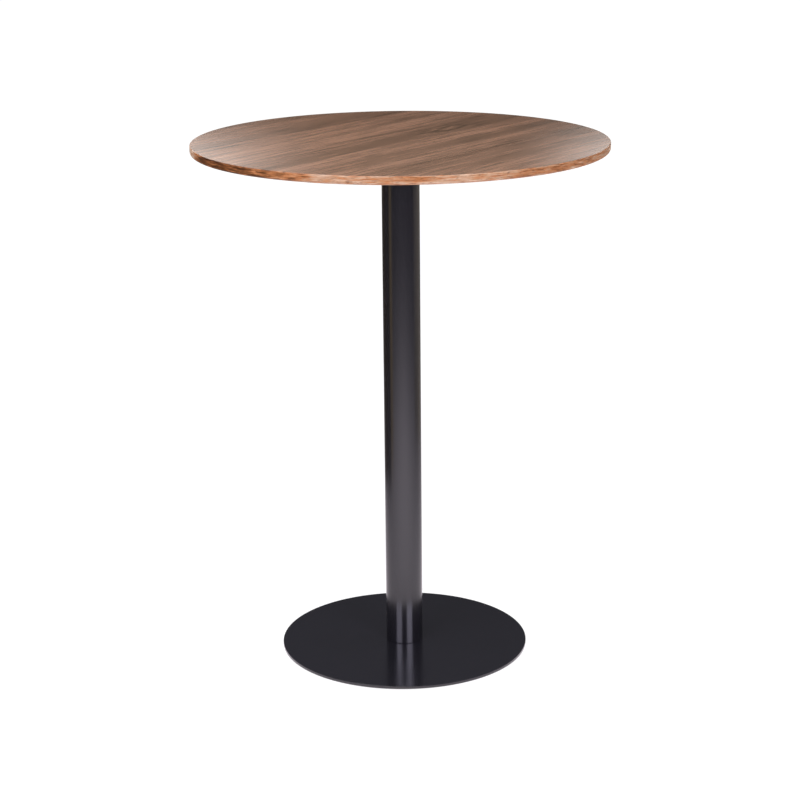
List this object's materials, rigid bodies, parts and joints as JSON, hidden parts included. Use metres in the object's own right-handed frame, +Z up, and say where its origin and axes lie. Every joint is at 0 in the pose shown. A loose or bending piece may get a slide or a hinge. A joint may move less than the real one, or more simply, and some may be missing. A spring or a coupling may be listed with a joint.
{
  "type": "pedestal table",
  "caption": "Round bar-height pedestal table: a walnut-veneered top on a black steel column with a flat round steel base, for eating or standing at.",
  "frame": {"origin": "on the floor, under the middle of the column", "axes": "+Z up along the column; the top's grain runs about 50 degrees from +X towards +Y; the picture looks along +Y"},
  "size_m": [0.8099, 0.81, 1.04],
  "materials": {
    "walnut_face": "satin lacquered walnut veneer",
    "walnut_edge": "satin lacquered walnut lipping",
    "walnut_backing": "sanded, thinly sealed veneer",
    "fibreboard": "pressed fibreboard, hidden",
    "black_coated_steel": "semi-gloss black powder coat",
    "zinc_plated_steel": "bright zinc plate",
    "bare_steel": "mill finish, hidden",
    "black_rubber": "matt moulded rubber"
  },
  "bodies": {
    "root": {"tabletop_core": "fibreboard", "face_veneer": "walnut_face", "backing_veneer": "walnut_backing", "edge_lipping": "walnut_edge", "threaded_inserts": "zinc_plated_steel", "mounting_spider": "black_coated_steel", "spider_screws": "zinc_plated_steel", "spider_washers": "zinc_plated_steel", "column_tube": "black_coated_steel", "column_weld": "black_coated_steel", "foot_flange": "bare_steel", "base_plate": "black_coated_steel", "base_screws": "zinc_plated_steel", "rubber_foot_1": "black_rubber", "rubber_foot_2": "black_rubber", "rubber_foot_3": "black_rubber", "rubber_foot_4": "black_rubber", "rubber_foot_5": "black_rubber", "rubber_foot_6": "black_rubber"}
  },
  "joints": []
}
